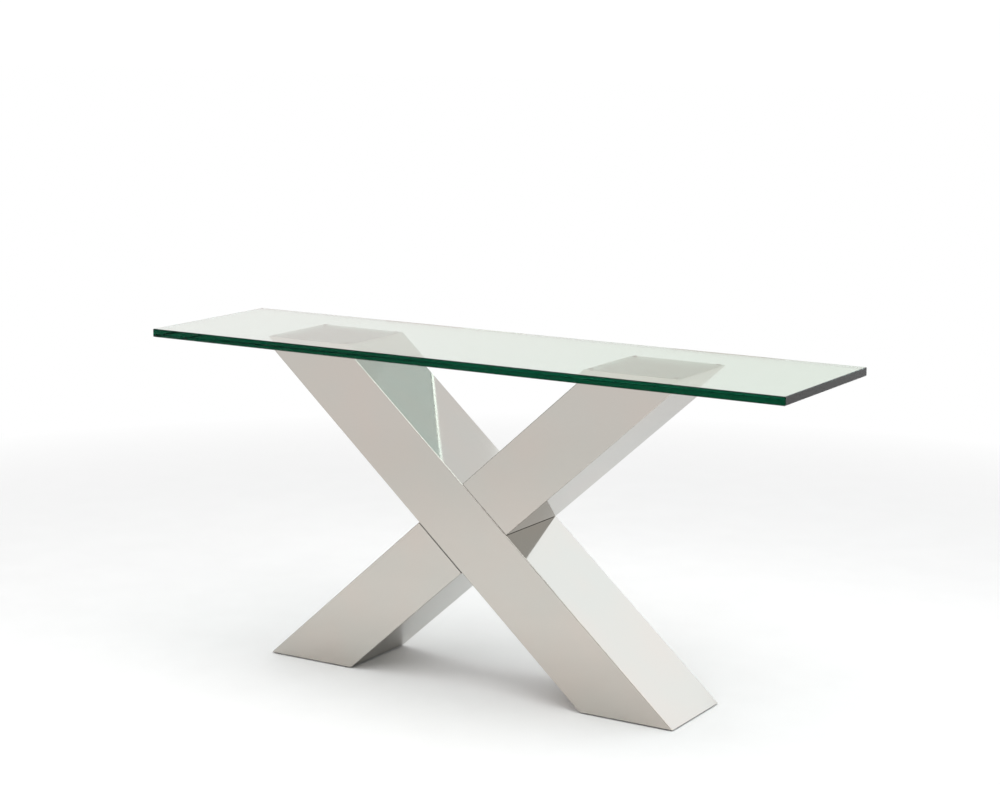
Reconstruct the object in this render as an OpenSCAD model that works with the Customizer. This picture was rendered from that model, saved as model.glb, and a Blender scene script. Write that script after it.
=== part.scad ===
// Console table: a thick glass top on a crossed base of two box-section beams.
// One beam runs through the crossing. The other is two arms, clamped against
// its sides by four long bolts. Millimetres, +X along the table, +Y to the back,
// +Z up, origin on the floor under the middle of the glass.

/* [Glass top] */
// Length of the glass, left to right
top_l = 1600; // [1300:10:2000]
// Depth of the glass, front to back
top_w = 415; // [330:5:520]
// Thickness of the glass
top_t = 19; // [15:1:25]
// How far the polished arris is set back from each edge of the glass
arris = 1.5; // [0.5:0.1:2.5]
// Height of the glass's upper face above the floor
table_h = 758; // [620:1:920]

/* [Crossed base] */
// Length of the base over its feet
base_span = 1054; // [860:2:1280]
// Width of a beam's front face, measured across the beam
beam_w = 150; // [120:1:190]
// Depth of a beam, front to back
beam_d = 218; // [170:1:280]
// How far the middle of the base stands in front of the middle of the glass
base_forward = 17; // [0:1:50]
// Thickness of the stainless sheet that the beams are folded from
sheet_t = 2; // [1.5:0.25:3]
// Outside radius of a folded corner
fold_r = 2; // [0.5:0.25:2.5]
// Shadow gap between the end of an arm and the side of the through beam
seam_gap = 2; // [0.5:0.25:4]
// Clearance between a welded-in piece and the walls around it
weld_fit = 0.1; // [0.05:0.05:0.3]

/* [Crossing joint] */
// Thickness of the flange welded into the inner end of each arm
flange_t = 6; // [4:1:12]
// Diameter of the clamp bolts
bolt_dia = 12; // [8:1:14]
// Room around a bolt in the holes that it passes through
bolt_fit = 0.5; // [0.2:0.1:1]
// Distance from the edge of a flange to the nearest bolt centre
bolt_edge = 26; // [22:1:32]
// Length of bolt that stands out of each nut
bolt_tail = 5; // [2:1:12]
// Size of the bolt heads and nuts across their flats
hex_af = 18; // [15:1:21]
// Thickness of a bolt head
head_t = 7.5; // [5:0.5:9]
// Thickness of a nut
nut_t = 10; // [7:1:13]
// Outside diameter of a washer
washer_dia = 24; // [21:1:28]
// Thickness of a washer
washer_t = 2.5; // [1.5:0.5:4]
// Outside diameter of the spacer tubes inside the through beam
spacer_dia = 20; // [18:1:26]

/* [End plates] */
// Thickness of the plates that close the ends of the beams
plate_t = 4; // [3:0.5:8]
// Clearance between a plate's edge and the walls around it
plate_fit = 0.4; // [0.2:0.1:1]
// Width of the tapped cleats welded under the foot plates
cleat_w = 34; // [30:1:40]
// Thickness of the tapped cleats
cleat_t = 12; // [8:1:16]
// Diameter of the countersunk screws
screw_dia = 6; // [5:1:6]
// Length of the countersunk screws, head included
screw_l = 14; // [12:1:18]
// Diameter of the screw heads
screw_head_dia = 11; // [10:1:12]
// Distance from a wall to the nearest screws, at the middle of a cleat
screw_edge = 20; // [18:1:24]
// Distance from a plate's front and back edges to its screws
screw_inset = 36; // [32:1:60]
// Play between a screw and the metal around it
screw_fit = 0.1; // [0.05:0.05:0.2]

/* [Bumpers and pads] */
// Diameter of the clear bumpers that carry the glass
bumper_dia = 12; // [8:1:16]
// Thickness of the bumpers
bumper_t = 2; // [1:0.5:4]
// Distance from a top plate's edges to the middle of a bumper
bumper_edge = 9; // [8:1:12]
// Diameter of the floor pads
pad_dia = 22; // [16:1:26]
// Thickness of the floor pads
pad_t = 3; // [2:0.5:6]
// Distance from a foot plate's edges to the middle of a floor pad
pad_edge = 14; // [13:1:16]

/* [Hidden] */

$fn = 48;
HEX = 6;          // sides of a nut, a bolt head or a hexagon socket
LEFT = -1;
RIGHT = 1;
TOP = 1;
FOOT = -1;

// Heights of the steel base, between the floor pads and the bumpers
base_z0 = pad_t;
base_z1 = table_h - top_t - bumper_t;
base_h = base_z1 - base_z0;
base_y = -base_forward;

// Slope of the beams, whose level-cut ends span base_span over base_h
tilt = atan(base_h / base_span) + asin(beam_w / norm([base_span, base_h]));
end_w = beam_w / sin(tilt);              // a beam's width along the floor
end_x = (base_span - end_w) / 2;         // middle of an end, left or right
skew = 90 - 2 * tilt;                    // how far the crossing is from square
reach = 2 * (base_span + base_h);        // longer than any beam

// Inside of a beam, and the plate that closes its end
core_w = beam_w - 2 * sheet_t;
core_d = beam_d - 2 * sheet_t;
plate_l = (core_w - 2 * plate_fit) / sin(tilt);
plate_d = core_d - 2 * plate_fit;

// Clamp bolts stand square to the through beam's sides, inside both arms
flange_x = beam_w / 2 + flange_t;
bolt_u = core_w / cos(skew) / 2 - flange_x * tan(abs(skew)) - bolt_edge;
bolt_y = core_d / 2 - bolt_edge;
bolt_x0 = flange_x + washer_t;           // underside of a bolt head
bolt_x1 = flange_x + nut_t + bolt_tail;  // far end of a bolt
hole_dia = bolt_dia + 2 * bolt_fit;
THREAD_PLAY = 0.1;                       // threads are drawn as plain fits
HEAD_CHAMFER = 90;                       // countersink angle

screw_head_h = (screw_head_dia - screw_dia) / 2 / tan(HEAD_CHAMFER / 2);
socket_af = 4;
socket_h = 2.4;
cleat_lean = (plate_t + cleat_t / 2) / tan(tilt);

// ---------- frames and outlines ----------

// Frame of the through beam: Z along it to the lower right, X across to the lower arm
module along_through_beam() {
    translate([0, base_y, (base_z0 + base_z1) / 2])
        rotate([0, 90 + tilt, 0]) children();
}

// Frame of the two arms: Z along them to the upper right
module along_arms() {
    translate([0, base_y, (base_z0 + base_z1) / 2])
        rotate([0, 90 - tilt, 0]) children();
}

// Everything between two heights
module level_slab(z0, z1) {
    translate([-reach / 2, -reach / 2, z0]) cube([reach, reach, z1 - z0]);
}

// Everything further than a distance from the through beam's middle, on one side
module beside_through_beam(which, distance) {
    along_through_beam()
        mirror([which == "upper" ? 1 : 0, 0, 0])
            translate([distance, -reach / 2, -reach / 2]) cube(reach);
}

// Rectangle with round corners
module round_rect(w, d, r) {
    square([w - 2 * r, d], center = true);
    square([w, d - 2 * r], center = true);
    for (x = [-1, 1], y = [-1, 1])
        translate([x * (w / 2 - r), y * (d / 2 - r)]) circle(r);
}

// Section of a folded channel: front and both sides, open at the back
module channel_section() {
    difference() {
        round_rect(beam_w, beam_d, fold_r);
        translate([-core_w / 2, sheet_t - beam_d / 2]) square([core_w, beam_d]);
    }
}

// Section of the strip that closes a channel's back
module cover_section() {
    translate([weld_fit - core_w / 2, beam_d / 2 - sheet_t])
        square([core_w - 2 * weld_fit, sheet_t]);
}

// Section of the space inside a beam, less a clearance all round
module core_section(clearance) {
    square([core_w - 2 * clearance, core_d - 2 * clearance], center = true);
}

// A section drawn along the through beam and cut level at both ends
module through_piece() {
    intersection() {
        along_through_beam()
            linear_extrude(height = reach, center = true) children();
        level_slab(base_z0, base_z1);
    }
}

// A section drawn along one arm, from the through beam's side to a level end
module arm_piece(which) {
    intersection() {
        along_arms() linear_extrude(height = reach, center = true) children();
        level_slab(base_z0, base_z1);
        beside_through_beam(which, beam_w / 2 + seam_gap);
    }
}

// ---------- crossing joint ----------

// Places a child on each bolt's axis, with Z toward the lower arm
module at_bolts() {
    along_through_beam()
        for (u = [-bolt_u, bolt_u], y = [-bolt_y, bolt_y])
            translate([0, y, u]) rotate([0, 90, 0]) children();
}

// Hexagonal prism measured across its flats
module hex_prism(af, h) {
    cylinder(d = af / cos(180 / HEX), h = h, $fn = HEX);
}

module bolt_holes() {
    at_bolts() cylinder(d = hole_dia, h = 2 * bolt_x1, center = true);
}

module arm_flange(which) {
    color("dimgray")
    difference() {
        intersection() {
            along_arms() linear_extrude(height = reach, center = true)
                core_section(weld_fit);
            beside_through_beam(which, beam_w / 2);
            along_through_beam() cube([2 * flange_x, reach, reach], center = true);
        }
        bolt_holes();
    }
}

module clamp_bolts() {
    color("lightsteelblue")
    at_bolts() {
        translate([0, 0, -bolt_x1]) cylinder(d = bolt_dia, h = bolt_x1 + bolt_x0);
        translate([0, 0, bolt_x0]) hex_prism(hex_af, head_t);
    }
}

module clamp_nuts() {
    color("lightgray")
    at_bolts() translate([0, 0, -flange_x - nut_t]) difference() {
        hex_prism(hex_af, nut_t);
        translate([0, 0, -1])
            cylinder(d = bolt_dia + 2 * THREAD_PLAY, h = nut_t + 2);
    }
}

module clamp_washers() {
    color("gainsboro")
    at_bolts() translate([0, 0, flange_x]) difference() {
        cylinder(d = washer_dia, h = washer_t);
        translate([0, 0, -1]) cylinder(d = hole_dia, h = washer_t + 2);
    }
}

module spacer_tubes() {
    color("silver")
    at_bolts() difference() {
        cylinder(d = spacer_dia, h = core_w, center = true);
        cylinder(d = hole_dia, h = core_w + 2, center = true);
    }
}

// ---------- beam shells ----------

module through_beam_channel() {
    color("silver")
    difference() {
        through_piece() channel_section();
        bolt_holes();
    }
}

module through_beam_cover() {
    color("silver") through_piece() cover_section();
}

module arm_channel(which) {
    color("silver") arm_piece(which) channel_section();
}

module arm_cover(which) {
    color("silver") arm_piece(which) cover_section();
}

// ---------- end plates, cleats and screws ----------

// Places a child at the middle of a beam's level end, with Z pointing out of it
module at_end(side, level) {
    translate([side * end_x, base_y, level == TOP ? base_z1 : base_z0])
        mirror([0, 0, level == TOP ? 0 : 1]) children();
}

// Clips its children to the inside of the beam that ends there
module inside_beam(side, level, clearance) {
    intersection() {
        if (side == -level)
            along_through_beam() linear_extrude(height = reach, center = true)
                core_section(clearance);
        else
            along_arms() linear_extrude(height = reach, center = true)
                core_section(clearance);
        children();
    }
}

// Places a child on each screw's axis, at the outer face of the foot plate.
// The beam leans, so the screws are centred on it at the middle of the cleats.
module at_screws(side) {
    at_end(side, FOOT) translate([-side * cleat_lean, 0, 0])
        for (x = [-1, 1], y = [-1, 1])
            translate([x * (plate_l / 2 - screw_edge),
                       y * (plate_d / 2 - screw_inset), 0])
                children();
}

// Hole for a countersunk screw, its mouth at the plate's outer face
module screw_hole() {
    translate([0, 0, -plate_t - cleat_t - 1])
        cylinder(d = screw_dia + 2 * screw_fit, h = plate_t + cleat_t + 2);
    translate([0, 0, -screw_head_h])
        cylinder(d1 = screw_dia + 2 * screw_fit,
                 d2 = screw_head_dia + 2 * screw_fit, h = screw_head_h);
}

module top_plate(side) {
    color("darkgray")
    inside_beam(side, TOP, plate_fit) level_slab(base_z1 - plate_t, base_z1);
}

module foot_plate(side) {
    color("darkgray")
    difference() {
        inside_beam(side, FOOT, plate_fit) level_slab(base_z0, base_z0 + plate_t);
        at_screws(side) screw_hole();
    }
}

module foot_cleats(side) {
    color("dimgray")
    difference() {
        inside_beam(side, FOOT, weld_fit)
            at_end(side, FOOT) translate([-side * cleat_lean, 0, 0])
                for (x = [-1, 1])
                    translate([x * plate_l / 2, 0, -plate_t - cleat_t / 2])
                        cube([2 * cleat_w, beam_d, cleat_t], center = true);
        at_screws(side) screw_hole();
    }
}

module foot_screws(side) {
    color("silver")
    at_screws(side) difference() {
        union() {
            translate([0, 0, -screw_l])
                cylinder(d = screw_dia, h = screw_l - screw_head_h);
            translate([0, 0, -screw_head_h])
                cylinder(d1 = screw_dia, d2 = screw_head_dia, h = screw_head_h);
        }
        translate([0, 0, -socket_h]) hex_prism(socket_af, socket_h + 1);
    }
}

// ---------- bumpers, pads and glass ----------

module glass_bumpers(side) {
    color("whitesmoke")
    at_end(side, TOP)
        for (x = [-1, 1], y = [-1, 1])
            translate([x * (plate_l / 2 - bumper_edge),
                       y * (plate_d / 2 - bumper_edge), 0])
                cylinder(d = bumper_dia, h = bumper_t);
}

module floor_pads(side) {
    color("black")
    at_end(side, FOOT)
        for (x = [-1, 1], y = [-1, 1])
            translate([x * (plate_l / 2 - pad_edge), y * (plate_d / 2 - pad_edge), 0])
                cylinder(d = pad_dia, h = pad_t);
}

// Rectangle with its four corners cut off by the arris
module arris_rect(w, h) {
    x = w / 2;
    y = h / 2;
    polygon([[arris - x, -y], [x - arris, -y], [x, arris - y], [x, y - arris],
             [x - arris, y], [arris - x, y], [-x, y - arris], [-x, arris - y]]);
}

module glass_top() {
    color("lightcyan", 0.5)
    translate([0, 0, table_h - top_t / 2]) intersection() {
        rotate([90, 0, 90]) linear_extrude(height = top_l, center = true)
            arris_rect(top_w, top_t);
        rotate([90, 0, 0]) linear_extrude(height = top_w, center = true)
            arris_rect(top_l, top_t);
        linear_extrude(height = top_t, center = true) arris_rect(top_l, top_w);
    }
}

// ---------- the table ----------

glass_top();
glass_bumpers(LEFT);  // left_glass_bumpers
glass_bumpers(RIGHT);  // right_glass_bumpers
through_beam_channel();
through_beam_cover();
arm_channel("upper");  // upper_arm_channel
arm_cover("upper");  // upper_arm_cover
arm_channel("lower");  // lower_arm_channel
arm_cover("lower");  // lower_arm_cover
arm_flange("upper");  // upper_arm_flange
arm_flange("lower");  // lower_arm_flange
clamp_bolts();
clamp_nuts();
clamp_washers();
spacer_tubes();
top_plate(LEFT);  // left_top_plate
top_plate(RIGHT);  // right_top_plate
foot_plate(LEFT);  // left_foot_plate
foot_plate(RIGHT);  // right_foot_plate
foot_cleats(LEFT);  // left_foot_cleats
foot_cleats(RIGHT);  // right_foot_cleats
foot_screws(LEFT);  // left_foot_screws
foot_screws(RIGHT);  // right_foot_screws
floor_pads(LEFT);  // left_floor_pads
floor_pads(RIGHT);  // right_floor_pads
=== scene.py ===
"""Console table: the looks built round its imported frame.

A thick glass top lies loose on a crossed base of polished stainless box beams.
Everything is in metres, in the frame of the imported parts: +X along the table,
+Y to the back, +Z up, the origin on the floor under the middle of the glass.
"""

import logging
import math
from dataclasses import dataclass, field
from enum import Enum
from typing import Any, Callable, Sequence

import bmesh
import bpy
from mathutils import Matrix, Vector

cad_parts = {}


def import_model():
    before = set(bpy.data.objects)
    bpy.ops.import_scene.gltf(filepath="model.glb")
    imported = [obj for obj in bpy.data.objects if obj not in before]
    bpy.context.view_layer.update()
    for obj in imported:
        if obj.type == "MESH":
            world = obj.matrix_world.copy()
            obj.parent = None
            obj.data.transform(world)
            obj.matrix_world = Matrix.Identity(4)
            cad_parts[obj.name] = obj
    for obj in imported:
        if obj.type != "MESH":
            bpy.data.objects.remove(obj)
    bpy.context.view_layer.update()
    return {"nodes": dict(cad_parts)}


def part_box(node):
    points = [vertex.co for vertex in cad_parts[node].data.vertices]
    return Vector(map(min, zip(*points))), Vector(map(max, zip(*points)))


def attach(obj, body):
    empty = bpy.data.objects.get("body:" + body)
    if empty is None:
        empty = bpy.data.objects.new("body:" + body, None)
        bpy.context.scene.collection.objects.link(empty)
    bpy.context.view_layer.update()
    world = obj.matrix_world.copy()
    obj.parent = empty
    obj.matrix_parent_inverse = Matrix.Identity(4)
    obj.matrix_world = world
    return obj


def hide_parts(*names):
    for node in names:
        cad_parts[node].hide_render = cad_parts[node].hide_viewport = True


LOG = logging.getLogger("console_table")

MM = 0.001
Colour = tuple[float, float, float]
Point = tuple[float, float, float]
Span = tuple[float, float]

SHARP_ANGLE = 30  # degrees between faces, past which an edge is drawn sharp
PARALLEL = 0.99  # cosine above which two directions count as the same
SAME_LEVEL = 0.1 * MM  # heights closer than this count as the same
OVERSHOOT = 1.1  # how much longer than the beam its cutter is
DRILL_SIDES = 48
ROUND = 0.5  # a bevel's profile for a round edge
NOISE_SPAN: Span = (0.3, 0.7)  # where most of a noise pattern's values lie
MIX_SHARE, MIX_FIRST, MIX_SECOND, MIX_COLOUR = 0, 6, 7, 2  # sockets of a colour Mix
WHITE: Colour = (1.0, 1.0, 1.0)


class Body(str, Enum):
    """The rigid bodies that pieces ride on."""

    BASE = "base"
    GLASS = "glass"


class Slot(str, Enum):
    """The record's material slots, by name."""

    GLASS = "top_glass"
    STAINLESS = "polished_stainless"
    BUMPER = "clear_bumper"
    PAD = "floor_pad"


class Side(Enum):
    """The two arms, by the way they leave the through beam."""

    UPPER = -1
    LOWER = 1


# ---------- node trees ----------


class Wiring:
    """A node tree, written one node at a time."""

    def __init__(self, tree: Any, output: str) -> None:
        """Empties a tree and gives it its output.

        Args:
            tree: The node tree.
            output: The output node's type, without its "ShaderNode" prefix.
        """
        self.tree = tree
        tree.nodes.clear()
        self.output = self.node(output)

    def node(self, kind: str, sockets: dict[Any, Any] | None = None, **settings: Any) -> Any:
        """Adds a node.

        Args:
            kind: The node's type, without its "ShaderNode" prefix.
            sockets: Input names or numbers, each with a value or an output to link.
            settings: Attributes to set on the node.

        Returns:
            The new node.
        """
        node = self.tree.nodes.new("ShaderNode" + kind)
        for key, value in settings.items():
            setattr(node, key, value)
        for key, value in (sockets or {}).items():
            if isinstance(value, bpy.types.NodeSocket):
                self.tree.links.new(value, node.inputs[key])
            else:
                node.inputs[key].default_value = value
        return node

    def spread(self, value: Any, source: Span, result: Span, soft: bool = False) -> Any:
        """Carries a value from one span to another, and holds it at the ends.

        Args:
            value: The socket to read.
            source: The span that it is read in.
            result: What the two ends of that span become.
            soft: Whether it eases in and out at the ends.

        Returns:
            The output socket with the result.
        """
        sockets = {
            "Value": value,
            "From Min": source[0],
            "From Max": source[1],
            "To Min": result[0],
            "To Max": result[1],
        }
        way = "SMOOTHSTEP" if soft else "LINEAR"
        return self.node("MapRange", sockets, interpolation_type=way).outputs[0]

    def blend(self, share: Any, first: Any, second: Any) -> Any:
        """Mixes two colours.

        Args:
            share: The socket with the second colour's share, from 0 to 1.
            first: Colour, or a socket with it, where the share is 0.
            second: Colour, or a socket with it, where the share is 1.

        Returns:
            The output socket with the colour.
        """
        colours = [c if isinstance(c, bpy.types.NodeSocket) else (*c, 1) for c in (first, second)]
        sockets = {MIX_SHARE: share, MIX_FIRST: colours[0], MIX_SECOND: colours[1]}
        return self.node("Mix", sockets, data_type="RGBA").outputs[MIX_COLOUR]

    def math(self, operation: str, first: Any, second: Any = 0.0) -> Any:
        """Does one sum.

        Args:
            operation: The Math node's operation.
            first: A value or socket.
            second: A value or socket.

        Returns:
            The output socket with the result.
        """
        return self.node("Math", {0: first, 1: second}, operation=operation).outputs[0]


class Recipe(Wiring):
    """A material's node tree."""

    def __init__(self, name: str) -> None:
        """Starts an empty material.

        Args:
            name: The material's name.
        """
        self.material = bpy.data.materials.new(name)
        self.material.use_nodes = True
        super().__init__(self.material.node_tree, "OutputMaterial")

    def place(self, turn: Point = (0, 0, 0), scale: Point = (1, 1, 1)) -> Any:
        """Object coordinates, turned and stretched.

        Args:
            turn: Turn about X, Y and Z, in degrees.
            scale: Stretch along the turned axes.

        Returns:
            The output socket that carries the coordinates.
        """
        where = self.node("TexCoord").outputs["Object"]
        turned = self.node("Mapping", {"Vector": where, "Rotation": tuple(map(math.radians, turn))})
        return self.node("Mapping", {"Vector": turned.outputs[0], "Scale": scale}).outputs[0]

    def noise(self, where: Any, scale: float, detail: float = 2, rough: float = 0.5) -> Any:
        """A noise pattern.

        Args:
            where: Coordinates that it reads.
            scale: Features per metre.
            detail: Octaves of finer noise.
            rough: How strong the finer octaves are.

        Returns:
            The output socket with a value round 0.5.
        """
        sockets = {"Vector": where, "Scale": scale, "Detail": detail, "Roughness": rough}
        return self.node("TexNoise", sockets).outputs[0]

    def between(self, value: Any, low: float, high: float) -> Any:
        """Spreads a noise value over a range.

        Args:
            value: The socket to read.
            low: Result where the noise is low.
            high: Result where the noise is high.

        Returns:
            The output socket with the result.
        """
        return self.spread(value, NOISE_SPAN, (low, high))

    def tint(self, value: Any, first: Colour, second: Colour) -> Any:
        """Mixes two colours by a noise value.

        Args:
            value: The socket to read.
            first: Colour where the noise is low.
            second: Colour where the noise is high.

        Returns:
            The output socket with the colour.
        """
        return self.blend(self.between(value, 0, 1), first, second)

    def bump(self, height: Any, depth: float, strength: float = 1) -> Any:
        """A bump from a height pattern.

        Args:
            height: The socket with the height, from 0 to 1.
            depth: What a height of 1 stands for, in metres.
            strength: How much of the bump shows.

        Returns:
            The output socket with the normal.
        """
        sockets = {"Height": height, "Distance": depth, "Strength": strength}
        return self.node("Bump", sockets).outputs[0]

    def surface(self, **sockets: Any) -> Any:
        """Adds the Principled shader and joins it to the output.

        Args:
            sockets: Its inputs, with _ for a space.

        Returns:
            The shader node.
        """
        inputs = {key.replace("_", " "): value for key, value in sockets.items()}
        shader = self.node("BsdfPrincipled", inputs)
        self.tree.links.new(shader.outputs[0], self.output.inputs["Surface"])
        return shader


# ---------- finishes ----------


@dataclass(frozen=True)
class PolishedStainless:
    """Mirror-polished stainless sheet with a faint lay along the beam.

    The scales are in features per metre.
    """

    name: str
    turn: float  # brings the lay onto X, in degrees about Y
    warm: Colour = (0.554, 0.508, 0.464)
    cool: Colour = (0.530, 0.513, 0.474)
    grazing: Colour = (0.82, 0.83, 0.83)  # how much of its gloss is left at a low angle
    roughness: Span = (0.045, 0.085)
    lay_scale: float = 12
    lay_stretch: float = 40  # how much longer than wide the polishing streaks are
    cloud_scale: float = 5.5
    wave_scale: float = 2.2
    waviness: float = 0.5 * MM  # how far the thin sheet stands off flat
    wave_strength: float = 0.35

    def make(self) -> Any:
        """Builds the material."""
        recipe = Recipe(self.name)
        stretch = (1, self.lay_stretch, self.lay_stretch)
        lay = recipe.place(turn=(0, self.turn, 0), scale=stretch)
        plain = recipe.place()
        streaks = recipe.noise(lay, self.lay_scale, detail=4, rough=0.6)
        clouds = recipe.noise(plain, self.cloud_scale, detail=2)
        waves = recipe.noise(plain, self.wave_scale, detail=1)
        recipe.surface(
            Base_Color=recipe.tint(clouds, self.cool, self.warm),
            Metallic=1.0,
            Specular_Tint=(*self.grazing, 1),
            Roughness=recipe.between(streaks, *self.roughness),
            Normal=recipe.bump(waves, self.waviness, self.wave_strength),
        )
        return recipe.material


@dataclass(frozen=True)
class PlateSteel:
    """Flat stainless or mild steel plate, from satin to mill finish.

    The scales are in features per metre.
    """

    name: str
    colour: Colour
    colour_low: Colour
    roughness: Span
    grain: Point = (4, 200, 200)  # stretch of the grain along X, Y and Z
    grain_scale: float = 6
    grain_depth: float = 0.04 * MM
    grain_strength: float = 0.5
    cloud_scale: float = 14

    def make(self) -> Any:
        """Builds the material."""
        recipe = Recipe(self.name)
        stretched = recipe.place(scale=self.grain)
        grain = recipe.noise(stretched, self.grain_scale, detail=4, rough=0.6)
        clouds = recipe.noise(recipe.place(), self.cloud_scale, detail=3)
        recipe.surface(
            Base_Color=recipe.tint(clouds, self.colour_low, self.colour),
            Metallic=1.0,
            Roughness=recipe.between(grain, *self.roughness),
            Normal=recipe.bump(grain, self.grain_depth, self.grain_strength),
        )
        return recipe.material


@dataclass(frozen=True)
class ClearGlass:
    """Float glass: clear through its thickness, green along its length.

    The broad faces are left as made, the edges are polished flat, and the
    narrow arrises between them are ground to a fine satin.
    """

    name: str = "clear_float_glass"
    ior: float = 1.52
    absorbed: Colour = (0.13, 0.587, 0.484)
    density: float = 15.5
    edge_gloss: Colour = (0.02, 0.02, 0.02)
    arris_roughness: float = 0.12
    flat: Span = (0.85, 0.9)  # the largest part of a normal, from arris to flat face
    broad: Span = (0.75, 0.95)  # the upright part of a normal, from edge to broad face

    def make(self) -> Any:
        """Builds the material."""
        recipe = Recipe(self.name)
        faces = recipe.node("TexCoord").outputs["Normal"]
        parts = recipe.node("SeparateXYZ", {0: faces}).outputs
        sizes = [recipe.math("ABSOLUTE", part) for part in parts]
        largest = recipe.math("MAXIMUM", recipe.math("MAXIMUM", sizes[0], sizes[1]), sizes[2])
        arris = recipe.spread(largest, self.flat, (1, 0))
        edge = recipe.spread(sizes[2], self.broad, (1, 0))
        recipe.surface(
            Base_Color=(*WHITE, 1),
            Roughness=recipe.math("MULTIPLY", arris, self.arris_roughness),
            IOR=self.ior,
            Transmission_Weight=1.0,
            Specular_Tint=recipe.blend(edge, WHITE, self.edge_gloss),
        )
        sockets = {"Color": (*self.absorbed, 1), "Density": self.density}
        inside = recipe.node("VolumeAbsorption", sockets)
        recipe.tree.links.new(inside.outputs[0], recipe.output.inputs["Volume"])
        return recipe.material


@dataclass(frozen=True)
class SoftPlastic:
    """Moulded soft plastic or rubber."""

    name: str
    colour: Colour
    colour_low: Colour
    roughness: Span
    clearness: float = 0.0
    ior: float = 1.45
    speckle: float = 900.0  # grains per metre
    speckle_depth: float = 0.03 * MM
    speckle_strength: float = 0.6

    def make(self) -> Any:
        """Builds the material."""
        recipe = Recipe(self.name)
        grain = recipe.noise(recipe.place(), self.speckle, detail=2)
        recipe.surface(
            Base_Color=recipe.tint(grain, self.colour_low, self.colour),
            Roughness=recipe.between(grain, *self.roughness),
            Transmission_Weight=self.clearness,
            IOR=self.ior,
            Normal=recipe.bump(grain, self.speckle_depth, self.speckle_strength),
        )
        return recipe.material


@dataclass(frozen=True)
class StudioPaper:
    """Matt white paper under the table, which glows of itself further out so the far floor stays
    white.
    """

    name: str = "studio_paper"
    colour: Colour = (0.90, 0.90, 0.895)
    colour_low: Colour = (0.885, 0.885, 0.88)
    roughness: float = 0.9
    gloss: float = 0.1
    fibre_scale: float = 8  # clumps of fibre per metre
    glow: float = 1.0
    glow_from: float = 1.5  # metres from the middle of the table
    glow_full: float = 3.2

    def make(self) -> Any:
        """Builds the material."""
        recipe = Recipe(self.name)
        where = recipe.place()
        fibre = recipe.noise(where, self.fibre_scale, detail=3)
        paper = recipe.surface(
            Base_Color=recipe.tint(fibre, self.colour_low, self.colour),
            Roughness=self.roughness,
            Specular_IOR_Level=self.gloss,
        )
        # Past glow_from the paper fades into a painted glow: an emission with no lamp behind it.
        away = recipe.node("VectorMath", {0: where}, operation="LENGTH").outputs["Value"]
        share = recipe.spread(away, (self.glow_from, self.glow_full), (0, 1))
        lit = recipe.node("Emission", {"Color": (*WHITE, 1), "Strength": self.glow})
        both = recipe.node("MixShader", {0: share, 1: paper.outputs[0], 2: lit.outputs[0]})
        recipe.tree.links.new(both.outputs[0], recipe.output.inputs["Surface"])
        return recipe.material


# ---------- bpy.ops modelling ----------


def deselect_all() -> None:
    bpy.ops.object.select_all(action="DESELECT")


def activate(piece: Any) -> None:
    """Makes one object the only selected and active one.

    Args:
        piece: The object.
    """
    deselect_all()
    piece.select_set(True)
    bpy.context.view_layer.objects.active = piece


def edit(piece: Any, steps: Callable[[Any], None]) -> None:
    """Runs steps on a piece in edit mode.

    Args:
        piece: The object.
        steps: Called with the piece, in edit mode with nothing selected.
    """
    activate(piece)
    bpy.ops.object.mode_set(mode="EDIT")
    bpy.ops.mesh.select_mode(type="VERT")
    bpy.ops.mesh.select_all(action="DESELECT")
    steps(piece)
    bpy.ops.object.mode_set(mode="OBJECT")


def pick(piece: Any, kind: str, wanted: Callable[[Any], bool]) -> None:
    """Selects a piece's faces or edges in edit mode, and nothing else.

    Args:
        piece: The object, in edit mode.
        kind: "FACE" or "EDGE".
        wanted: Says which of them are selected.
    """
    bpy.ops.mesh.select_mode(type=kind)
    bpy.ops.mesh.select_all(action="DESELECT")
    mesh = bmesh.from_edit_mesh(piece.data)
    for part in mesh.faces if kind == "FACE" else mesh.edges:
        if wanted(part):
            part.select = True
    mesh.select_flush_mode()
    bmesh.update_edit_mesh(piece.data)


def settle(piece: Any) -> None:
    """Puts a piece's place, turn and size into its mesh.

    Args:
        piece: The object.
    """
    activate(piece)
    bpy.ops.object.transform_apply(location=True, rotation=True, scale=True)


def add_box(name: str, middle: Vector, size: Vector, slope: float = 0.0) -> Any:
    """Adds a box primitive, turned about Y.

    Args:
        name: The new object's name.
        middle: Its middle.
        size: Its size along its own axes.
        slope: Its turn about Y, in radians.

    Returns:
        The object, its place in its mesh.
    """
    deselect_all()
    bpy.ops.mesh.primitive_cube_add(size=1, location=middle, rotation=(0, slope, 0))
    piece = bpy.context.active_object
    piece.name = piece.data.name = name
    piece.scale = size
    settle(piece)
    return piece


def add_rod(
    name: str, radius: float, middle: Vector, length: float, sides: int, slope: float = 0.0
) -> Any:
    """Adds a cylinder primitive, upright unless it is turned about Y.

    Args:
        name: The new object's name.
        radius: Its radius.
        middle: Its middle.
        length: Its length.
        sides: Faces round it.
        slope: Its turn about Y, in radians.

    Returns:
        The object, its place in its mesh.
    """
    deselect_all()
    bpy.ops.mesh.primitive_cylinder_add(
        vertices=sides, radius=radius, depth=length, location=middle, rotation=(0, slope, 0)
    )
    piece = bpy.context.active_object
    piece.name = piece.data.name = name
    settle(piece)
    return piece


def copy_to(piece: Any, shift: Vector) -> Any:
    """Copies a piece with its own mesh and moves the copy's mesh.

    Args:
        piece: The object to copy.
        shift: How far the copy stands from it.

    Returns:
        The copy.
    """
    twin = piece.copy()
    twin.data = piece.data.copy()
    twin.data.transform(Matrix.Translation(shift))
    bpy.context.scene.collection.objects.link(twin)
    return twin


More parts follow.
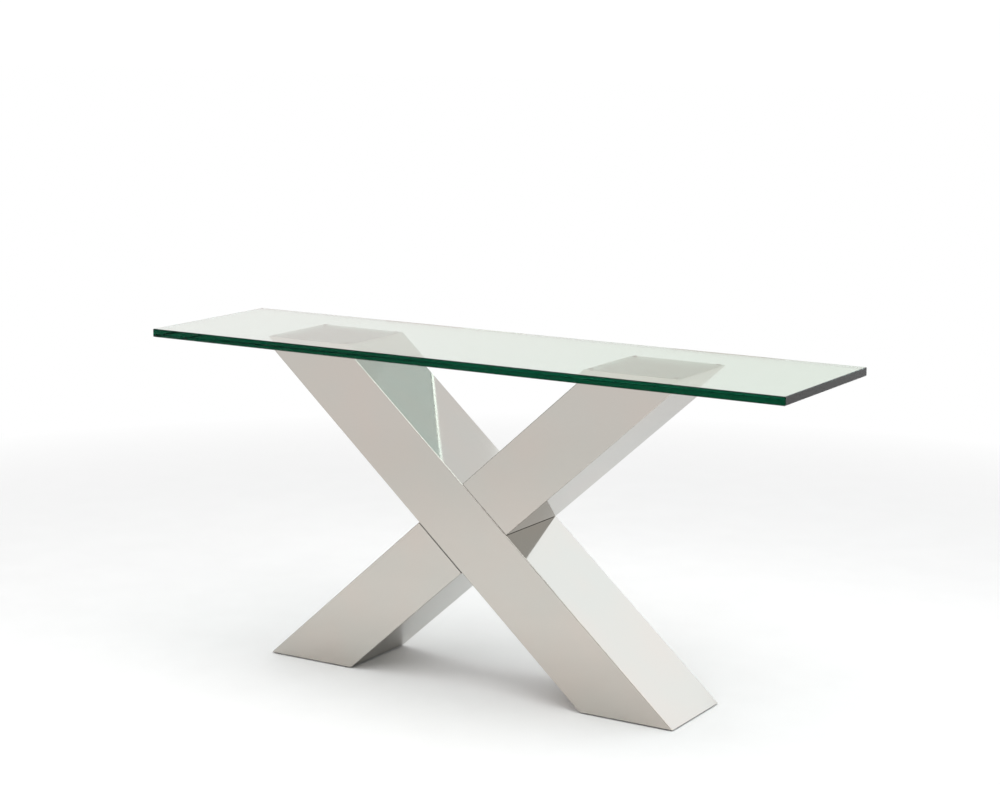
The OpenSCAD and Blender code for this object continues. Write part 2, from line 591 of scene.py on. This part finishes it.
def join(name: str, pieces: Sequence[Any]) -> Any:
    """Joins pieces into one.

    Args:
        name: The joined object's name.
        pieces: The objects to join.

    Returns:
        The joined object.
    """
    activate(pieces[0])
    for piece in pieces:
        piece.select_set(True)
    bpy.ops.object.join()
    joined = bpy.context.active_object
    joined.name = joined.data.name = name
    return joined


def finish_with(piece: Any, kind: str, **settings: Any) -> None:
    """Adds a modifier to a piece and applies it.

    Args:
        piece: The object.
        kind: The modifier's type.
        settings: Attributes to set on it.
    """
    modifier = piece.modifiers.new(kind.lower(), kind)
    for key, value in settings.items():
        setattr(modifier, key, value)
    activate(piece)
    bpy.ops.object.modifier_apply(modifier=modifier.name)


def cut_out(piece: Any, cutter: Any) -> None:
    """Cuts one solid out of another and removes it.

    Args:
        piece: The object that is cut.
        cutter: The solid that is taken away.
    """
    finish_with(piece, "BOOLEAN", operation="DIFFERENCE", solver="EXACT", object=cutter)
    bpy.data.objects.remove(cutter)


def smooth(piece: Any) -> None:
    """Shades rounded edges smooth and keeps the flats beside them flat.

    Args:
        piece: The object.
    """
    activate(piece)
    bpy.ops.object.shade_smooth_by_angle(angle=math.radians(SHARP_ANGLE))
    finish_with(piece, "WEIGHTED_NORMAL", mode="FACE_AREA", weight=100, keep_sharp=True)


def present(piece: Any, material: Any, body: Body, node: str) -> None:
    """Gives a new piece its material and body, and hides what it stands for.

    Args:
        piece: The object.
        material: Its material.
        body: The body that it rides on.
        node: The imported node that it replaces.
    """
    piece.data.materials.clear()
    piece.data.materials.append(material)
    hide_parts(node)
    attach(piece, body.value)
    LOG.info("%s: %d faces, for %s", piece.name, len(piece.data.polygons), node)


# ---------- the table ----------


@dataclass
class GlassTop:
    """The loose glass slab, its edges ground flat and its arrises narrow."""

    node: str = "glass_top"
    arris: float = 1.5 * MM
    finish: ClearGlass = field(default_factory=ClearGlass)

    def build(self) -> None:
        """Models the slab and dresses it."""
        low, high = map(Vector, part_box(self.node))
        slab = add_box("polished_glass_top", (low + high) / 2, high - low)
        edit(slab, self._grind)
        present(slab, self.finish.make(), Body.GLASS, self.node)

    def _grind(self, slab: Any) -> None:
        """Bevels every edge of the slab by the arris."""
        pick(slab, "EDGE", lambda edge: True)
        bpy.ops.mesh.bevel(offset=self.arris, segments=1, affect="EDGES")


@dataclass
class CrossedBase:
    """The three polished channels that cross under the glass."""

    beam_w: float = 150 * MM
    sheet: float = 2 * MM
    fold: float = 2 * MM
    fold_steps: int = 5
    seam: float = 2 * MM
    hole: float = 13 * MM
    drill_reach: float = 1.2  # the drill's length in beam widths
    bolt_edge: float = 26 * MM  # from a bolt's middle to the inside of the box
    flange: float = 6 * MM  # thickness of the arms' inner flanges
    through_node: str = "through_beam_channel"
    arm_nodes: tuple[tuple[str, Side], ...] = (
        ("upper_arm_channel", Side.UPPER),
        ("lower_arm_channel", Side.LOWER),
    )

    def __post_init__(self) -> None:
        """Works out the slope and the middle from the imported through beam."""
        low, high = map(Vector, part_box(self.through_node))
        size = high - low
        self.middle = (low + high) / 2
        self.low_z = low.z
        self.high_z = high.z
        self.depth = size.y
        self.reach = size.x + size.z
        corner = math.hypot(size.x, size.z)
        self.tilt = math.atan2(size.z, size.x) + math.asin(self.beam_w / corner)
        self.core = Vector((self.beam_w - 2 * self.sheet, self.depth - 2 * self.sheet))
        self.through_turn = math.pi / 2 + self.tilt
        self.arm_turn = math.pi / 2 - self.tilt
        self.across = Matrix.Rotation(self.through_turn, 3, "Y") @ Vector((1, 0, 0))

    def build(self) -> None:
        """Models and dresses the three channels."""
        degrees = math.degrees(self.tilt)
        falling = PolishedStainless("polished_stainless_through_beam", -degrees).make()
        rising = PolishedStainless("polished_stainless_arms", degrees).make()
        beam = self._channel("through_beam_shell", self.through_turn, None)
        self._drill(beam)
        self._done(beam, falling, self.through_node)
        for node, side in self.arm_nodes:
            arm = self._channel(node.replace("channel", "shell"), self.arm_turn, side)
            self._done(arm, rising, node)

    def _done(self, shell: Any, material: Any, node: str) -> None:
        """Smooths a channel and stands it for its node."""
        smooth(shell)
        present(shell, material, Body.BASE, node)

    def _channel(self, name: str, turn: float, side: Side | None) -> Any:
        """Folds one channel: front and both sides, open at the back and the ends.

        Args:
            name: The channel's name.
            turn: The beam's turn about Y, which carries Z along it.
            side: Which arm it is, or None for the through beam.

        Returns:
            The channel.
        """
        size = Vector((self.beam_w, self.depth, self.reach))
        shell = add_box(name, self.middle, size, turn)
        along = Matrix.Rotation(turn, 3, "Y") @ Vector((0, 0, 1))
        edit(shell, lambda piece: self._fold(piece, along))
        edit(shell, lambda piece: self._trim(side))
        room = Vector((self.core.x, self.depth, self.reach * OVERSHOOT))
        middle = self.middle + Vector((0, self.sheet, 0))
        cut_out(shell, add_box("inside", middle, room, turn))
        return shell

    def _fold(self, shell: Any, along: Vector) -> None:
        """Rounds the four edges that run along the beam."""
        pick(shell, "EDGE", lambda edge: self._runs(edge, along))
        steps = self.fold_steps
        bpy.ops.mesh.bevel(offset=self.fold, segments=steps, profile=ROUND, affect="EDGES")

    @staticmethod
    def _runs(edge: Any, along: Vector) -> bool:
        """Whether an edge runs along the beam."""
        first, second = edge.verts
        return abs((second.co - first.co).normalized().dot(along)) > PARALLEL

    def _trim(self, side: Side | None) -> None:
        """Cuts a beam level under the glass and at the floor, and at its seam."""
        self._slice(Vector((0, 0, self.high_z)), Vector((0, 0, 1)))
        self._slice(Vector((0, 0, self.low_z)), Vector((0, 0, -1)))
        if side is not None:
            outward = self.across * side.value
            edge = self.middle + outward * (self.beam_w / 2 + self.seam)
            self._slice(edge, -outward)

    @staticmethod
    def _slice(point: Vector, away: Vector) -> None:
        """Cuts off what lies past a plane and closes the cut.

        Args:
            point: A point on the plane.
            away: The way to the side that is cut off.
        """
        bpy.ops.mesh.select_all(action="SELECT")
        bpy.ops.mesh.bisect(plane_co=point, plane_no=away, use_fill=True, clear_outer=True)

    def _drill(self, beam: Any) -> None:
        """Cuts the holes for the four clamp bolts through both sides."""
        skew = math.pi / 2 - 2 * self.tilt
        flange_x = self.beam_w / 2 + self.flange
        half = self.core.x / math.cos(skew) / 2
        bolt_u = half - flange_x * math.tan(abs(skew)) - self.bolt_edge
        bolt_y = self.core.y / 2 - self.bolt_edge
        along = Matrix.Rotation(self.through_turn, 3, "Y") @ Vector((0, 0, 1))
        turn = self.through_turn + math.pi / 2
        length = self.beam_w * self.drill_reach
        for u in (-bolt_u, bolt_u):
            for y in (-bolt_y, bolt_y):
                place = self.middle + along * u + Vector((0, y, 0))
                drill = add_rod("drill", self.hole / 2, place, length, DRILL_SIDES, turn)
                cut_out(beam, drill)


@dataclass
class Discs:
    """Four small round feet or bumpers, their free rims rounded."""

    node: str
    name: str
    slot: Slot
    diameter: float
    rim: float  # radius of the rounded rim
    up: bool  # whether the rounded rim is the upper one
    sides: int = 40
    rim_steps: int = 3

    def build(self, material: Any) -> None:
        """Models one disc, copies it to the corners and dresses the four.

        Args:
            material: The material, which both sets of discs share.
        """
        low, high = map(Vector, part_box(self.node))
        radius = self.diameter / 2
        middle_z = (low.z + high.z) / 2
        start = Vector((low.x + radius, low.y + radius, middle_z))
        disc = add_rod(self.name, radius, start, high.z - low.z, self.sides)
        level = high.z if self.up else low.z
        edit(disc, lambda piece: self._round(piece, level))
        far = Vector((high.x - low.x - self.diameter, high.y - low.y - self.diameter, 0))
        shifts = (Vector((far.x, 0, 0)), Vector((0, far.y, 0)), far)
        whole = join(self.name, [disc, *(copy_to(disc, shift) for shift in shifts)])
        smooth(whole)
        present(whole, material, Body.BASE, self.node)

    def _round(self, disc: Any, level: float) -> None:
        """Rounds the rim at one level."""
        pick(disc, "EDGE", lambda edge: all(abs(v.co.z - level) < SAME_LEVEL for v in edge.verts))
        steps = self.rim_steps
        bpy.ops.mesh.bevel(offset=self.rim, segments=steps, profile=ROUND, affect="EDGES")


@dataclass
class SmallParts:
    """The bumpers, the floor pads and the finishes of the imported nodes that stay."""

    bumper_d: float = 12 * MM
    bumper_rim: float = 0.9 * MM
    pad_d: float = 22 * MM
    pad_rim: float = 0.7 * MM
    bumper: SoftPlastic = SoftPlastic(
        "clear_bumper_plastic", (0.90, 0.91, 0.90), (0.84, 0.86, 0.85), (0.10, 0.2), clearness=0.75
    )
    pad: SoftPlastic = SoftPlastic(
        "floor_pad_rubber", (0.045, 0.045, 0.045), (0.025, 0.025, 0.026), (0.55, 0.75)
    )
    satin: PlateSteel = PlateSteel(
        "satin_plate_steel", (0.34, 0.365, 0.365), (0.30, 0.325, 0.325), (0.25, 0.40)
    )
    mill: PlateSteel = PlateSteel(
        "mill_plate_steel", (0.42, 0.41, 0.40), (0.33, 0.325, 0.32), (0.38, 0.58)
    )
    zinc: PlateSteel = PlateSteel(
        "bright_fastener_steel", (0.63, 0.62, 0.60), (0.55, 0.54, 0.53), (0.22, 0.36), (60, 60, 60)
    )
    cover_nodes: tuple[tuple[str, int], ...] = (  # each with the way that it slopes
        ("through_beam_cover", -1),
        ("upper_arm_cover", 1),
        ("lower_arm_cover", 1),
    )

    def build(self, nodes: dict[str, Any], tilt: float) -> None:
        """Makes the discs and dresses the nodes that stay.

        Args:
            nodes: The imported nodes.
            tilt: The beams' slope, in radians.
        """
        clear = self.bumper.make()
        rubber = self.pad.make()
        for side in ("left", "right"):
            node = f"{side}_glass_bumpers"
            name = f"{side}_domed_bumpers"
            Discs(node, name, Slot.BUMPER, self.bumper_d, self.bumper_rim, up=True).build(clear)
            node = f"{side}_floor_pads"
            name = f"{side}_rubber_pads"
            Discs(node, name, Slot.PAD, self.pad_d, self.pad_rim, up=False).build(rubber)
        self._dress(nodes, tilt)

    def _dress(self, nodes: dict[str, Any], tilt: float) -> None:
        """Gives every node that stays a finish of its own kind."""
        satin = self.satin.make()
        mill = self.mill.make()
        zinc = self.zinc.make()
        finishes = {
            "plate": satin,
            "flange": mill,
            "cleats": mill,
            "tubes": mill,
            "bolts": zinc,
            "nuts": zinc,
            "washers": zinc,
            "screws": zinc,
        }
        for name, node in nodes.items():
            for word, material in finishes.items():
                if name.endswith(word):
                    self._paint(node, material)
        for name, sign in self.cover_nodes:
            degrees = sign * math.degrees(tilt)
            self._paint(nodes[name], PolishedStainless(f"polished_{name}", degrees).make())

    @staticmethod
    def _paint(node: Any, material: Any) -> None:
        """Gives one node a material."""
        for slot in node.material_slots:
            slot.material = material
        LOG.info("%s: %s", node.name, material.name)


# ---------- the studio ----------


@dataclass(frozen=True)
class Softbox:
    """One flat soft light."""

    name: str
    place: Point
    aim: Point
    size: Span
    radiance: float  # brightness of its face, whatever its size
    colour: Colour = WHITE

    def hang(self) -> None:
        """Hangs the light and turns it to its aim."""
        lamp = bpy.data.lights.new(self.name, "AREA")
        lamp.shape = "RECTANGLE"
        lamp.size, lamp.size_y = self.size
        lamp.energy = self.radiance * self.size[0] * self.size[1] * math.pi
        lamp.color = self.colour
        box = bpy.data.objects.new(self.name, lamp)
        way = Vector(self.aim) - Vector(self.place)
        turn = way.to_track_quat("-Z", "Y").to_matrix().to_4x4()
        box.matrix_world = Matrix.Translation(Vector(self.place)) @ turn
        bpy.context.scene.collection.objects.link(box)


@dataclass(frozen=True)
class Room:
    """The soft light that fills the studio, by its direction.

    Each span is where one light gives way to the next, as a part of the unit
    direction: across to +X, to the back, or up.
    """

    horizon: Colour = (1.02, 1.02, 1.02)
    front: Colour = (0.35, 0.35, 0.35)
    back_left: Colour = (1.12, 0.97, 0.95)
    back_right: Colour = (0.98, 0.90, 0.81)
    far_right: Colour = (0.92, 0.96, 0.98)
    back_high: Colour = (1.05, 1.07, 1.09)
    overhead: Colour = (0.45, 0.45, 0.45)
    across_to_right: Span = (-0.65, -0.35)
    across_to_far_right: Span = (0.0, 0.4)
    up_to_high: Span = (0.25, 0.42)
    back_to_behind: Span = (-0.1, 0.45)
    up_to_wall: Span = (0.04, 0.12)
    up_to_overhead: Span = (0.60, 0.85)

    def build(self) -> None:
        """Wires the room's light and makes it the scene's."""
        world = bpy.data.worlds.new("studio")
        world.use_nodes = True
        sky = Wiring(world.node_tree, "OutputWorld")
        way = sky.node("TexCoord").outputs["Generated"]
        across, back, up = sky.node("SeparateXYZ", {0: way}).outputs
        light = self._fade(sky, across, self.across_to_right, self.back_left, self.back_right)
        light = self._fade(sky, across, self.across_to_far_right, light, self.far_right)
        light = self._fade(sky, up, self.up_to_high, light, self.back_high)
        light = self._fade(sky, back, self.back_to_behind, self.front, light)
        light = self._fade(sky, up, self.up_to_wall, self.horizon, light)
        light = self._fade(sky, up, self.up_to_overhead, light, self.overhead)
        glow = sky.node("Background", {"Color": light, "Strength": 1.0})
        sky.tree.links.new(glow.outputs[0], sky.output.inputs["Surface"])
        bpy.context.scene.world = world

    @staticmethod
    def _fade(sky: Wiring, part: Any, span: Span, first: Any, second: Any) -> Any:
        """Fades softly from one light to the next.

        Args:
            sky: The world's node tree.
            part: The socket with the part of the direction that is read.
            span: Where in that part the fade starts and ends.
            first: Colour or socket below the span.
            second: Colour or socket above it.

        Returns:
            The output socket with the colour.
        """
        return sky.blend(sky.spread(part, span, (0, 1), soft=True), first, second)


@dataclass
class Studio:
    """A white floor, soft lights and the camera."""

    azimuth: float = 31.41  # how far the camera is turned to the left, in degrees
    elevation: float = 10.284  # how far it looks down, in degrees
    roll: float = 0.323  # in degrees
    lens: float = 80.17  # in millimetres, as is the sensor's width
    sensor: float = 36
    stand: Point = (2.5546, -4.1517, 1.5401)
    floor: float = 60.0
    boxes: tuple[Softbox, ...] = (
        Softbox("overhead_softbox", (0.6, -0.6, 3.4), (0.6, -0.6, 0), (5.0, 4.0), 1.98),
        Softbox("front_softbox", (-0.2, -4.2, 3.2), (-0.2, 0, 0.5), (2.4, 1.2), 2.4),
        Softbox(
            "back_panel", (0.45, 3.2, 2.05), (0.45, 0, 2.05), (2.4, 0.88), 0.56, (0.80, 0.92, 1.0)
        ),
    )

    def build(self) -> None:
        """Sets up the floor, the lights and the camera."""
        self._paper()
        Room().build()
        for box in self.boxes:
            box.hang()
        self._camera()

    def _paper(self) -> None:
        """Lays the floor."""
        deselect_all()
        bpy.ops.mesh.primitive_plane_add(size=1, location=(0, 0, 0))
        paper = bpy.context.active_object
        paper.name = paper.data.name = "studio_floor"
        paper.scale = (self.floor, self.floor, 1)
        settle(paper)
        paper.data.materials.append(StudioPaper().make())

    def _camera(self) -> None:
        """Stands the camera in front of the table, to the right of its middle."""
        turn = (
            Matrix.Rotation(math.radians(self.azimuth), 4, "Z")
            @ Matrix.Rotation(math.radians(90 - self.elevation), 4, "X")
            @ Matrix.Rotation(math.radians(self.roll), 4, "Z")
        )
        data = bpy.data.cameras.new("view_camera")
        data.lens = self.lens
        data.sensor_width = self.sensor
        camera = bpy.data.objects.new("view_camera", data)
        camera.matrix_world = Matrix.Translation(Vector(self.stand)) @ turn
        bpy.context.scene.collection.objects.link(camera)
        bpy.context.scene.camera = camera
        bpy.context.scene.view_settings.view_transform = "Standard"


def main() -> None:
    """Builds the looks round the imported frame."""
    logging.basicConfig(level=logging.INFO, format="%(message)s")
    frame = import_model()
    GlassTop().build()
    base = CrossedBase()
    base.build()
    SmallParts().build(frame["nodes"], base.tilt)
    Studio().build()


if __name__ == "__main__":
    main()
